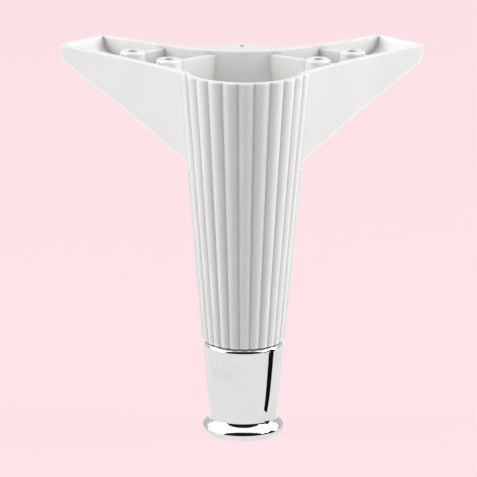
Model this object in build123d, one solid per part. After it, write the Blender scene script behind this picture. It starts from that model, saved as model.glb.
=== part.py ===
from build123d import *
from math import cos, hypot, radians, sin, sqrt, tan
import os

# A moulded furniture leg: a reeded, tapering column, two open-topped wings that run out
# and back from it to fit a corner of the furniture, and a plated cup as its foot.
# It stands on the XY plane with the cup's axis on Z. The reeds face -Y, and the wings
# reach out to both sides and back towards +Y. Every size is in millimetres.

# Whole leg
leg_height = 150.0
cup_height = 38.0

# Moulding
wall = 2.2
rib_thickness = 1.6
rib_drop = 1.5
side_draft = 4.0

# Reeded column, measured to the valleys between the reeds
column_top_radius = 24.7
column_foot_radius = 15.1
back_top_radius = 26.6
back_foot_radius = 16.8
reed_pitch_angle = 15.0
round_reeds = 9
reed_rise_top = 1.35
reed_rise_foot = 0.9
side_reed_top = 5.6
side_reed_foot = 3.5

# Wings from above
wing_angle = 45.0
wing_length = 70.3
wing_step = 0.3
wing_bow = 1.2
wing_end_width = 25.4
back_wall_angle = 33.8
back_bend_radius = 43.0
tip_corner_radius = 2.0
back_corner_radius = 2.4

# Wings from the side
wing_tip_height = 7.0
wing_root_height = 37.2
wing_end_lean = 2.2
tip_lower_radius = 1.6
root_cove_radius = 3.6
floor_cove_radius = 6.0

# Screw bosses, counted along the wing from its root and in from its front wall
boss_diameter = 10.0
boss_draft = 2.5
boss_hole = 4.7
boss_first = 21.0
boss_pitch = 20.5
boss_inset = 14.2
boss_drop = 0.4
boss_edge = 0.8
screw_seat_depth = 8.0
screw_head_bore = 8.0
rib_lean = 10.0

# Web behind the back wall, with its rounded screw tab
web_thickness = 2.2
web_drop = 0.5
web_half_span = 33.5
tab_half_width = 14.5
tab_shoulder = 11.6
tab_reach = 15.0
tab_hole = 2.6
tab_hole_inset = 4.6

# Plug that the cup is pressed on to
shadow_gap = 0.6
neck_setback = 1.8
plug_clearance = 0.15
plug_length = 25.0
plug_floor = 2.5
grip_ribs = 6
grip_rib_width = 1.2
grip_clearance = 0.02

# Plated cup
cup_top_radius = 16.0
cup_waist_radius = 13.65
cup_wall = 2.3
cup_edge_radius = 1.7
flange_radius = 16.7
flange_top = 5.9
flange_edge = 3.05
flange_cove_radius = 2.4
flange_nose_radius = 2.4
foot_edge_radius = 1.9
cup_floor = 4.0
cup_floor_radius = 2.0

# Heights that follow from the sizes above
shoulder_height = cup_height + shadow_gap
plug_end = cup_height - plug_length
under_root = leg_height - wing_root_height
below_head = under_root - root_cove_radius

# Directions of the right wing: along it, and across it from its front wall inwards
along = Vector(cos(radians(wing_angle)), sin(radians(wing_angle)), 0)
across = Vector(-along.Y, along.X, 0)
wing_slope = (wing_root_height - wing_tip_height) / (wing_length - wing_end_lean)
far = 2 * wing_length


def level(x, y, z=leg_height):
    return Vector(x, y, z)


def tapered(foot_value, top_value, z):
    """A size of the column that changes evenly from its shoulder up to its top."""
    return foot_value + (top_value - foot_value) * (z - shoulder_height) / (leg_height - shoulder_height)


def valley_points(z):
    """The valleys between the reeds at this height, from -X round the front to +X."""
    radius = tapered(column_foot_radius, column_top_radius, z)
    side_reed = tapered(side_reed_foot, side_reed_top, z)
    half = round_reeds * reed_pitch_angle / 2
    angles = [radians(-half + step * reed_pitch_angle) for step in range(round_reeds + 1)]
    valleys = [level(radius * sin(a), -radius * cos(a), z) for a in angles]
    outer = valleys[-1] + Vector(cos(radians(half)), sin(radians(half)), 0) * side_reed
    return [level(-outer.X, outer.Y, z)] + valleys + [outer]


def flank_end(z):
    """Where the short plain flank beside the reeds meets the column's round back."""
    corner = valley_points(z)[-1]
    back = tapered(back_foot_radius, back_top_radius, z)
    ahead = corner.X * along.X + corner.Y * along.Y
    reach = sqrt(ahead**2 + back**2 - corner.X**2 - corner.Y**2) - ahead
    return corner + along * reach


def reed(start, end, rise):
    """One reed: an arc that stands out by rise between two valleys."""
    run = (end - start).normalized()
    crown = (start + end) / 2 + Vector(run.Y, -run.X, 0) * rise
    return ThreePointArc(start, crown, end)


def column_section(z):
    """Reeds round the front, a short plain flank on each side and a plain round back."""
    points = valley_points(z)
    rise = tapered(reed_rise_foot, reed_rise_top, z)
    back = tapered(back_foot_radius, back_top_radius, z)
    right = flank_end(z)
    left = level(-right.X, right.Y, z)
    edges = [reed(start, end, rise) for start, end in zip(points, points[1:])]
    edges += [Line(points[-1], right), Line(left, points[0])]
    edges += [ThreePointArc(right, level(0, back, z), left)]
    return make_face(edges)


def column_outside():
    return loft([column_section(shoulder_height), column_section(leg_height)], ruled=True)


def column_bore():
    """The tapering hollow, off centre because the back stands out beyond the reeds."""
    rings = []
    for z in (shoulder_height + wall, leg_height):
        front = tapered(column_foot_radius, column_top_radius, z) - wall
        back = tapered(back_foot_radius, back_top_radius, z) - wall
        rings.append(Pos(0, (back - front) / 2, z) * Circle((back + front) / 2))
    return loft(rings, ruled=True)


def wing_point(run, inset):
    """A point at the top of the right wing, from its root and in from its front wall."""
    return valley_points(leg_height)[-1] + along * run + across * (inset - wing_step)


def back_corner():
    return wing_point(wing_length, wing_end_width)


def back_wall_y(x):
    """Where the back wall's straight outer face lies, at this distance from the middle."""
    return back_corner().Y - (back_corner().X - x) * tan(radians(back_wall_angle))


def back_middle_y():
    """Where the back wall's outer face crosses the middle, at the foot of its bend."""
    return back_wall_y(0) + back_bend_radius * (1 / cos(radians(back_wall_angle)) - 1)


def head_plan():
    """Both wings from above, closed by a straight line that lies inside the column."""
    run = -side_reed_top - wall
    share = run / wing_length
    start = wing_point(run, 4 * wing_bow * share * (1 - share))
    tip = wing_point(wing_length, 0)
    bend_x = back_bend_radius * sin(radians(back_wall_angle))
    bend = level(bend_x, back_wall_y(bend_x))
    right = [
        ThreePointArc(start, wing_point(wing_length / 2, wing_bow), tip),
        Line(tip, back_corner()),
        Line(back_corner(), bend),
    ]
    left = [mirror(edge, Plane.YZ) for edge in right]
    middle = ThreePointArc(bend, level(0, back_middle_y()), level(-bend.X, bend.Y))
    closing = Line(level(-start.X, start.Y), start)
    return make_face(right + left + [middle, closing])


def drafted_head(inset):
    """The head as a block with drafted sides and rounded corners, moved in by inset."""
    depth = leg_height - below_head
    shrink = inset + depth * tan(radians(side_draft))
    top = offset(head_plan(), -inset, kind=Kind.INTERSECTION) if inset else head_plan()
    foot = Pos(0, 0, -depth) * offset(head_plan(), -shrink, kind=Kind.INTERSECTION)
    block = loft([foot, top], ruled=True)
    uprights = block.edges().filter_by(lambda e: abs((e @ 1).Z - (e @ 0).Z) > depth / 2)
    by_x = uprights.sort_by(Axis.X)
    tip_radius = max(tip_corner_radius - inset, rib_thickness / 2)
    block = fillet([by_x[0], by_x[-1]], tip_radius)
    uprights = block.edges().filter_by(lambda e: abs((e @ 1).Z - (e @ 0).Z) > depth / 2)
    back_radius = max(back_corner_radius - inset, rib_thickness / 2)
    return fillet(uprights.sort_by(Axis.Y)[-2:], back_radius)


def rounded_face(points, rounds):
    """A face from an outline of points, with the chosen corners rounded."""
    face = make_face(Polyline(points, close=True))
    for corner, radius in rounds.items():
        x, y = points[corner]
        near = [v for v in face.vertices() if hypot(v.X - x, v.Y - y) < 0.01]
        face = fillet(near, radius)
    return face


def wing_side():
    """The upright plane of the right wing's front wall, starting at the wing's root."""
    root = wing_point(0, 0)
    return Plane(origin=(root.X, root.Y, 0), x_dir=along, z_dir=-across)


def above_slope(inset, foot_radius):
    """The space above the right wing's sloping underside and inside its leaning end wall.

    Inset moves the slope and the end wall into the wing, for its hollow.
    """
    lean = wing_end_lean / wing_tip_height
    low = under_root + inset * hypot(1, wing_slope)
    end = wing_length - inset * hypot(1, lean)
    foot = (end - (leg_height - low) * lean) / (1 - wing_slope * lean)
    outline = [
        (-far, leg_height), (end, leg_height), (foot, low + wing_slope * foot),
        (-far, low - wing_slope * far),
    ]
    return extrude(wing_side() * rounded_face(outline, {2: foot_radius}), far, both=True)


def head_block(inset, foot_radius):
    """The head with its undersides, every wall, end and slope moved in by inset."""
    right = above_slope(inset, foot_radius)
    return drafted_head(inset) & right & mirror(right, Plane.YZ)


def root_cove():
    """The rounded inner corner under the right wing, where it meets the column's flank."""
    flank = (flank_end(under_root) - wing_point(0, 0)).dot(along) - wing_step
    end = flank + 2 * root_cove_radius
    outline = [
        (-far, leg_height), (end, leg_height), (end, under_root + wing_slope * end),
        (flank, under_root + wing_slope * flank), (flank, below_head), (-far, below_head),
    ]
    profile = wing_side() * rounded_face(outline, {3: root_cove_radius})
    return drafted_head(0) & extrude(profile, -column_top_radius)


def boss_places():
    return [wing_point(boss_first + boss_pitch * step, boss_inset) for step in range(2)]


def boss(place):
    """A boss that widens downwards, with a rounded rim."""
    height = leg_height - boss_drop - below_head
    foot_radius = boss_diameter / 2 + height * tan(radians(boss_draft))
    shape = Cone(foot_radius, boss_diameter / 2, height, align=(Align.CENTER, Align.CENTER, Align.MIN))
    shape = fillet(shape.edges().sort_by(Axis.Z)[-1], boss_edge)
    return Pos(place.X, place.Y, below_head) * shape


def rib(place):
    """A thin upright rib through the boss, from the front wall to the back wall."""
    height = leg_height - rib_drop - below_head
    shape = Box(rib_thickness, far, height, align=(Align.CENTER, Align.CENTER, Align.MIN))
    return Pos(place.X, place.Y, below_head) * Rot(0, 0, wing_angle + rib_lean) * shape


def screw_way(place):
    """The hole that a wing screw takes from below, with room for its head."""
    hole = Pos(place.X, place.Y, leg_height) * Cylinder(boss_hole / 2, 2 * leg_height)
    bore_height = leg_height - screw_seat_depth
    bore = Cylinder(screw_head_bore / 2, bore_height, align=(Align.CENTER, Align.CENTER, Align.MIN))
    return hole + Pos(place.X, place.Y) * bore


def both_sides(shape):
    return shape + mirror(shape, Plane.YZ)


def rear_web():
    """The web behind the back wall, with a rounded tab that takes one small screw."""
    z = leg_height - web_drop
    middle = back_middle_y()
    wing_end = level(web_half_span, back_wall_y(web_half_span) - wall / 4, z)
    shoulder = level(tab_half_width, middle + tab_shoulder, z)
    between = (wing_end + shoulder) / 2
    hollow = level(between.X, between.Y - wing_bow, z)
    tip = level(0, middle + tab_reach, z)
    inside = level(0, back_wall_y(0) - wall, z)
    right = [ThreePointArc(wing_end, hollow, shoulder), Line(inside, wing_end)]
    left = [mirror(edge, Plane.YZ) for edge in right]
    edge = ThreePointArc(shoulder, tip, level(-shoulder.X, shoulder.Y, z))
    plate = extrude(make_face(right + left + [edge]), -web_thickness)
    hole = Pos(tip.X, tip.Y - tab_hole_inset, z) * Cylinder(tab_hole / 2, 3 * web_thickness)
    return plate - hole


def turned(*points):
    """A solid turned about Z from an outline of (radius, height) points."""
    return revolve(Plane.XZ * make_face(Polyline(*points, close=True)), Axis.Z)


def cup_bore_radius(z):
    share = (z - flange_top) / (cup_height - flange_top)
    return cup_waist_radius + (cup_top_radius - cup_waist_radius) * share - cup_wall


def plug_outside():
    """The neck that stands on the cup's rim, the plug below it and the ribs that grip."""
    inside = shoulder_height + wall / 2
    top = cup_bore_radius(cup_height)
    end = cup_bore_radius(plug_end)
    neck = cup_top_radius - neck_setback
    plug = turned((0, plug_end), (end - plug_clearance, plug_end), (top - plug_clearance, cup_height),
                  (neck, cup_height), (neck, inside), (0, inside))
    grip = turned((0, plug_end), (end - grip_clearance, plug_end), (top - grip_clearance, cup_height),
                  (0, cup_height))
    blade = Pos(0, 0, cup_height) * Box(2 * cup_top_radius, grip_rib_width, 2 * plug_length)
    blades = Part() + [Rot(0, 0, 360 / grip_ribs * step) * blade for step in range(grip_ribs // 2)]
    return plug + (grip & blades)


def plug_hollow():
    floor = plug_end + plug_floor
    top = cup_bore_radius(cup_height) - plug_clearance - wall
    end = cup_bore_radius(floor) - plug_clearance - wall
    roof = shoulder_height + wall
    return turned((0, floor), (end, floor), (top, cup_height), (top, roof), (0, roof))


def leg_body():
    places = boss_places()
    outside = column_outside() + head_block(0, tip_lower_radius) + both_sides(root_cove())
    outside += rear_web() + plug_outside()
    hollow = column_bore() + head_block(wall, floor_cove_radius) + plug_hollow()
    inner = both_sides(Part() + [rib(place) for place in places] + [boss(place) for place in places])
    inner &= head_block(wall / 2, tip_lower_radius)
    holes = both_sides(Part() + [screw_way(place) for place in places])
    return outside - hollow + inner - holes


def foot_cup():
    """The plated cup: a rounded rim, a straight taper and a flared, round-edged foot."""
    outline = [
        (0, 0), (flange_radius, 0), (flange_radius, flange_edge), (cup_waist_radius, flange_top),
        (cup_top_radius, cup_height), (cup_bore_radius(cup_height), cup_height),
        (cup_bore_radius(cup_floor), cup_floor), (0, cup_floor),
    ]
    rounds = {1: foot_edge_radius, 2: flange_nose_radius, 3: flange_cove_radius,
              4: cup_edge_radius, 6: cup_floor_radius}
    return revolve(Plane.XZ * rounded_face(outline, rounds), Axis.Z)


os.makedirs("parts", exist_ok=True)
for name, piece in (("leg_body", leg_body()), ("foot_cup", foot_cup())):
    export_step(piece, f"parts/{name}.step")
    print(name, "volume", round(piece.volume), "mm3")
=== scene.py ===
import bpy
from math import cos, radians, sin
from mathutils import Matrix, Vector

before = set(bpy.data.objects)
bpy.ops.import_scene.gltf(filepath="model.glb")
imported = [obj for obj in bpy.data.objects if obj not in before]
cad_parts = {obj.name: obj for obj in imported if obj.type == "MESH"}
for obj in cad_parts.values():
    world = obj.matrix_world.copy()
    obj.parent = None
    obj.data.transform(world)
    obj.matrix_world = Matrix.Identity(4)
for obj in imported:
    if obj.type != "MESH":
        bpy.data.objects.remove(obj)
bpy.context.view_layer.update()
scene = bpy.context.scene
scene.view_settings.view_transform = "Standard"
white = (1, 1, 1, 1)
print("frame loaded:", sorted(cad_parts))


# Shader maths: a wrapped socket, so that expressions on values make the nodes

class Wire:
    def __init__(self, tree, socket):
        self.tree, self.socket = tree, socket

    def math(self, operation, *others):
        values = dict(enumerate((self, *others)))
        return self.tree.add("ShaderNodeMath", {"operation": operation}, values)

    def __add__(self, other):
        return self.math("ADD", other)

    def __radd__(self, other):
        return self.math("ADD", other)

    def __sub__(self, other):
        return self.math("SUBTRACT", other)

    def __rsub__(self, other):
        return self.tree.add("ShaderNodeMath", {"operation": "SUBTRACT"}, {0: other, 1: self})

    def __mul__(self, other):
        return self.math("MULTIPLY", other)

    def __rmul__(self, other):
        return self.math("MULTIPLY", other)

    def between(self, low, high):  # 0 below low, 1 above high, smooth in between
        values = {"Value": self, "From Min": low, "From Max": high}
        return self.tree.add("ShaderNodeMapRange", {"interpolation_type": "SMOOTHSTEP"}, values)


class Tree:
    def __init__(self, owner):
        owner.use_nodes = True
        self.nodes, self.links = owner.node_tree.nodes, owner.node_tree.links
        self.nodes.clear()

    def add(self, kind, settings=None, values=None, out=0):
        node = self.nodes.new(kind)
        for name, value in (settings or {}).items():
            setattr(node, name, value)
        for name, value in (values or {}).items():
            if isinstance(value, Wire):
                self.links.new(value.socket, node.inputs[name])
            else:
                node.inputs[name].default_value = value
        return Wire(self, node.outputs[out]) if node.outputs else node

    def noise(self, scale, detail, roughness=0.5, stretch=None):  # scale is per metre
        spot = self.add("ShaderNodeTexCoord", out="Object")
        if stretch:
            spot = self.add("ShaderNodeMapping", values={"Vector": spot, "Scale": stretch})
        values = {"Vector": spot, "Scale": scale, "Detail": detail, "Roughness": roughness}
        return self.add("ShaderNodeTexNoise", values=values)

    def mixColour(self, share, first, second):
        return self.add("ShaderNodeMix", {"data_type": "RGBA"}, {0: share, 6: first, 7: second}, out=2)

    def closeness(self, reach, inside):  # 0 in the open, up to 1 where a surface lies within reach
        settings = {"inside": inside, "samples": 8}
        return 1.0 - self.add("ShaderNodeAmbientOcclusion", settings, {"Distance": reach}, out="AO")

    def bump(self, height):  # height in metres
        return self.add("ShaderNodeBump", values={"Height": height, "Distance": 1.0, "Strength": 1.0})

    def finish(self, shader, kind="Material"):
        self.add(f"ShaderNodeOutput{kind}", values={"Surface": shader})


def makeMaterial(name):
    material = bpy.data.materials.new(name)
    return material, Tree(material)


# The white moulding

whitePlastic = {
    "colour": (0.870, 0.864, 0.851, 1),
    "cloudColour": (0.840, 0.835, 0.825, 1),
    "cloudScale": 38.0,
    "cloudStretch": (1, 1, 0.35),  # the melt flowed along the column
    "cloudDetail": 3,
    "cloudLimits": (0.35, 0.65),
    # painted highlight: the base colour is made lighter near rims and edges by an occlusion node
    "paintedHighlightColour": (0.985, 0.983, 0.978, 1),
    "paintedHighlightReach": 0.0010,
    "paintedHighlightShare": 3.2,
    # painted shade: the base colour is made darker in creases, grooves and corners by an occlusion node
    "paintedShadeColour": (0.62, 0.615, 0.605, 1),
    "paintedShadeReach": 0.0034,
    "paintedShadeShare": 2.5,
    "roughness": 0.30,
    "cloudRoughness": 0.10,
    "grainRoughness": 0.04,
    "grainScale": 2600.0,
    "grainDetail": 2,
    "grainDepth": 0.000012,
    "waveScale": 55.0,
    "waveDetail": 1,
    "waveDepth": 0.00006,
    "refraction": 1.49,
}


def makeWhitePlastic(p=whitePlastic):
    material, tree = makeMaterial("whitePlastic")
    cloud = tree.noise(p["cloudScale"], p["cloudDetail"], stretch=p["cloudStretch"])
    grain = tree.noise(p["grainScale"], p["grainDetail"])
    wave = tree.noise(p["waveScale"], p["waveDetail"])
    colour = tree.mixColour(cloud.between(*p["cloudLimits"]), p["cloudColour"], p["colour"])
    paintedHighlight = tree.closeness(p["paintedHighlightReach"], True) * p["paintedHighlightShare"]  # painted highlight: the base colour is made lighter near thin rims and edges, where light gathers
    colour = tree.mixColour(paintedHighlight.between(0.0, 1.0), colour, p["paintedHighlightColour"])
    paintedShade = tree.closeness(p["paintedShadeReach"], False) * p["paintedShadeShare"]  # painted shade: the base colour is made darker in creases, where light is lost
    colour = tree.mixColour(paintedShade.between(0.0, 1.0), colour, p["paintedShadeColour"])
    roughness = p["roughness"] + (cloud - 0.5) * p["cloudRoughness"] + (grain - 0.5) * p["grainRoughness"]
    shader = tree.add("ShaderNodeBsdfPrincipled", values={
        "Base Color": colour,
        "Roughness": roughness,
        "Normal": tree.bump(wave * p["waveDepth"] + grain * p["grainDepth"]),
        "IOR": p["refraction"],
    })
    tree.finish(shader)
    return material


# The plated cup

platedCup = {
    "colour": (0.806, 0.806, 0.808, 1),
    "hazeColour": (0.746, 0.746, 0.748, 1),
    "roughness": 0.035,
    "hazeRoughness": 0.09,
    "hazeScale": 70.0,
    "hazeDetail": 4,
    "hazeGrit": 0.6,
    "hazeLimits": (0.45, 0.75),
    "peelScale": 420.0,
    "peelDetail": 1,
    "peelDepth": 0.0000035,
}


def makePlating(p=platedCup):
    material, tree = makeMaterial("plating")
    haze = tree.noise(p["hazeScale"], p["hazeDetail"], p["hazeGrit"]).between(*p["hazeLimits"])
    peel = tree.noise(p["peelScale"], p["peelDetail"])
    shader = tree.add("ShaderNodeBsdfPrincipled", values={
        "Base Color": tree.mixColour(haze, p["colour"], p["hazeColour"]),
        "Metallic": 1.0,
        "Roughness": p["roughness"] + haze * (p["hazeRoughness"] - p["roughness"]),
        "Normal": tree.bump(peel * p["peelDepth"]),
    })
    tree.finish(shader)
    return material


def dress(node, material):
    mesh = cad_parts[node].data
    mesh.materials.clear()
    mesh.materials.append(material)
    print("dressed", node)


dress("leg_body", makeWhitePlastic())
dress("foot_cup", makePlating())


# The floor and the room: the eye and the gloss see coloured paper, the light meets neutral grey

room = {
    "paper": (0.991, 0.768, 0.807, 1),
    "neutral": (0.50, 0.50, 0.50, 1),
    "glow": 1.0,
    "shadowShare": 0.08,
    "floorReach": 6.0,
    "floorSides": 96,
    "ambient": 0.11,
}


def seenShare(tree):
    path = tree.add("ShaderNodeLightPath", out="Is Camera Ray")
    glossy = Wire(tree, path.socket.node.outputs["Is Glossy Ray"])
    clear = Wire(tree, path.socket.node.outputs["Is Transmission Ray"])
    return path.math("MAXIMUM", glossy).math("MAXIMUM", clear)


def makePaper(p=room):
    material, tree = makeMaterial("paper")
    lit = tree.add("ShaderNodeBsdfDiffuse", values={"Color": p["paper"]})
    glow = tree.add("ShaderNodeEmission", values={"Color": p["paper"], "Strength": p["glow"]})
    shown = tree.add("ShaderNodeMixShader", values={0: p["shadowShare"], 1: glow, 2: lit})
    plain = tree.add("ShaderNodeBsdfDiffuse", values={"Color": p["neutral"]})
    tree.finish(tree.add("ShaderNodeMixShader", values={0: seenShare(tree), 1: plain, 2: shown}))
    return material


def makeFloor(p=room):
    bpy.ops.mesh.primitive_circle_add(vertices=p["floorSides"], radius=p["floorReach"], fill_type="NGON")
    floor = bpy.context.object
    floor.name = "floor"
    floor.data.materials.append(makePaper())


def makeSky(p=room):
    world = bpy.data.worlds.new("room")
    scene.world = world
    tree = Tree(world)
    shown = tree.add("ShaderNodeBackground", values={"Color": p["paper"], "Strength": p["glow"]})
    light = tree.add("ShaderNodeBackground", values={"Color": white, "Strength": p["ambient"]})
    tree.finish(tree.add("ShaderNodeMixShader", values={0: seenShare(tree), 1: light, 2: shown}), "World")


makeFloor()
makeSky()
print("floor and room made")


# Soft boxes, in metres and watts: azimuth from the front (-Y) towards +X, distance and height of the
# middle, and whether the gloss mirrors them

lamps = {
    "boxLeft": {
        "azimuth": -93, "away": 1.05, "height": 0.60,
        "width": 0.9, "tall": 0.8, "power": 10.1, "mirrored": True,
    },
    "boxRight": {
        "azimuth": 93, "away": 1.05, "height": 0.60,
        "width": 0.9, "tall": 0.8, "power": 12.0, "mirrored": True,
    },
    "fillLeft": {
        "azimuth": -62, "away": 1.1, "height": 0.35,
        "width": 0.7, "tall": 0.6, "power": 1.7, "mirrored": True,
    },
    "fillRight": {
        "azimuth": 62, "away": 1.1, "height": 0.35,
        "width": 0.7, "tall": 0.6, "power": 1.7, "mirrored": True,
    },
    "boxFront": {
        "azimuth": 0, "away": 1.0, "height": 0.90,
        "width": 1.2, "tall": 0.8, "power": 1.9, "mirrored": False,
    },
    "boxTop": {
        "azimuth": 0, "away": 0.20, "height": 1.4,
        "width": 1.6, "tall": 1.3, "power": 4.6, "mirrored": False,
    },
}
aim = Vector((0, 0, 0.09))


def around(azimuth, away, height):
    turn = radians(azimuth)
    return Vector((sin(turn) * away, -cos(turn) * away, height))


def makeLamp(name, p):
    place = around(p["azimuth"], p["away"], p["height"])
    data = bpy.data.lights.new(name, "AREA")
    data.shape, data.size, data.size_y, data.energy = "RECTANGLE", p["width"], p["tall"], p["power"]
    lamp = bpy.data.objects.new(name, data)
    lamp.location = place
    lamp.rotation_euler = (aim - place).to_track_quat("-Z", "Y").to_euler()
    lamp.visible_camera = False
    lamp.visible_glossy = p["mirrored"]
    scene.collection.objects.link(lamp)


for lampName, lampSizes in lamps.items():
    makeLamp(lampName, lampSizes)
print("lamps:", len(lamps))


# Cards that only the gloss sees, as the plated cup mirrors them: a pale sheet on the floor with a darker
# patch behind the leg and a dark wedge at its right, a white tent over a grey skirt, and two dark cards,
# in front of the leg and at its right. Each card runs round its centre between two azimuths, from its
# foot edge to its top edge, whose height goes from start to middle to end

cards = {
    "sheet": {
        "azimuths": (-180, 180), "footRadius": 0.0155, "footHeight": 0.0004,
        "topRadius": 1.0, "topHeights": (0.0004, 0.0004, 0.0004), "glow": 0.93,
    },
    "shade": {
        "azimuths": (150, 210), "footRadius": 0.018, "footHeight": 0.0006,
        "topRadius": 1.0, "topHeights": (0.0006, 0.0006, 0.0006), "glow": 0.70,
    },
    "wedge": {
        "centre": (0.0142, -0.0166), "azimuths": (84.2, 106.8), "footRadius": 0.018, "footHeight": 0.0008,
        "topRadius": 0.9, "topHeights": (0.0008, 0.0008, 0.0008), "glow": 0.005,
    },
    "skirt": {
        "azimuths": (-180, 180), "footRadius": 1.7, "footHeight": 0.0,
        "topRadius": 1.7, "topHeights": (0.75, 0.75, 0.75), "glow": 0.62,
    },
    "tent": {
        "azimuths": (-180, 180), "footRadius": 1.7, "footHeight": 0.75,
        "topRadius": 1.7, "topHeights": (2.4, 2.4, 2.4), "glow": 1.25,
    },
    "lid": {
        "azimuths": (-180, 180), "footRadius": 0.0, "footHeight": 2.4,
        "topRadius": 1.7, "topHeights": (2.4, 2.4, 2.4), "glow": 1.25,
    },
    "screen": {
        "azimuths": (-56, 56), "footRadius": 0.9, "footHeight": 0.0,
        "topRadius": 0.9, "topHeights": (0.2, 2.1, 0.2), "glow": 0.01,
    },
    "gap": {
        "azimuths": (52, 99), "footRadius": 0.9, "footHeight": 0.0,
        "topRadius": 0.9, "topHeights": (0.1, 0.45, 1.0), "glow": 0.01,
    },
}
cardStep = 4  # degrees
cardArch = 3  # the power by which a top edge falls from its middle


def topHeight(p, share):
    start, middle, end = p["topHeights"]
    side = start if share < 0.5 else end
    return middle + (side - middle) * abs(2 * share - 1)**cardArch


def makeCard(name, p):
    centre = Vector((*p.get("centre", (0, 0)), 0))
    first, last = p["azimuths"]
    steps = round((last - first) / cardStep)
    verts = []
    for index in range(steps + 1):
        share = index / steps
        azimuth = first + (last - first) * share
        verts.append(centre + around(azimuth, p["footRadius"], p["footHeight"]))
        verts.append(centre + around(azimuth, p["topRadius"], topHeight(p, share)))
    faces = [(corner, corner + 1, corner + 3, corner + 2) for corner in range(0, 2 * steps, 2)]
    mesh = bpy.data.meshes.new(name)
    mesh.from_pydata(verts, [], faces)
    material, tree = makeMaterial(name)
    tree.finish(tree.add("ShaderNodeEmission", values={"Color": white, "Strength": p["glow"]}))
    mesh.materials.append(material)
    card = bpy.data.objects.new(name, mesh)
    card.visible_camera = card.visible_diffuse = card.visible_shadow = card.visible_transmission = False
    scene.collection.objects.link(card)


for cardName, cardSizes in cards.items():
    makeCard(cardName, cardSizes)
print("cards:", len(cards))


# The camera stands where the photograph was taken from

view = {
    "azimuth": -1.37,
    "elevation": 15.15,
    "roll": 0.26,
    "distance": 2.0,
    "target": (-0.00216, 0.0, 0.08035),
    "lens": 375.9,  # mm
    "sensor": 36.0,
}


def makeCamera(p=view):
    turn, rise, roll = radians(p["azimuth"]), radians(p["elevation"]), radians(p["roll"])
    back = Vector((sin(turn) * cos(rise), -cos(turn) * cos(rise), sin(rise)))
    side = (-back).cross(Vector((0, 0, 1))).normalized()
    up = side.cross(-back)
    right = side * cos(roll) + up * sin(roll)
    above = up * cos(roll) - side * sin(roll)
    data = bpy.data.cameras.new("camera")
    data.sensor_width, data.sensor_fit, data.lens = p["sensor"], "HORIZONTAL", p["lens"]
    camera = bpy.data.objects.new("camera", data)
    place = Matrix.Translation(Vector(p["target"]) + back * p["distance"])
    camera.matrix_world = place @ Matrix((right, above, back)).transposed().to_4x4()
    scene.collection.objects.link(camera)
    scene.camera = camera


makeCamera()
print("camera set")
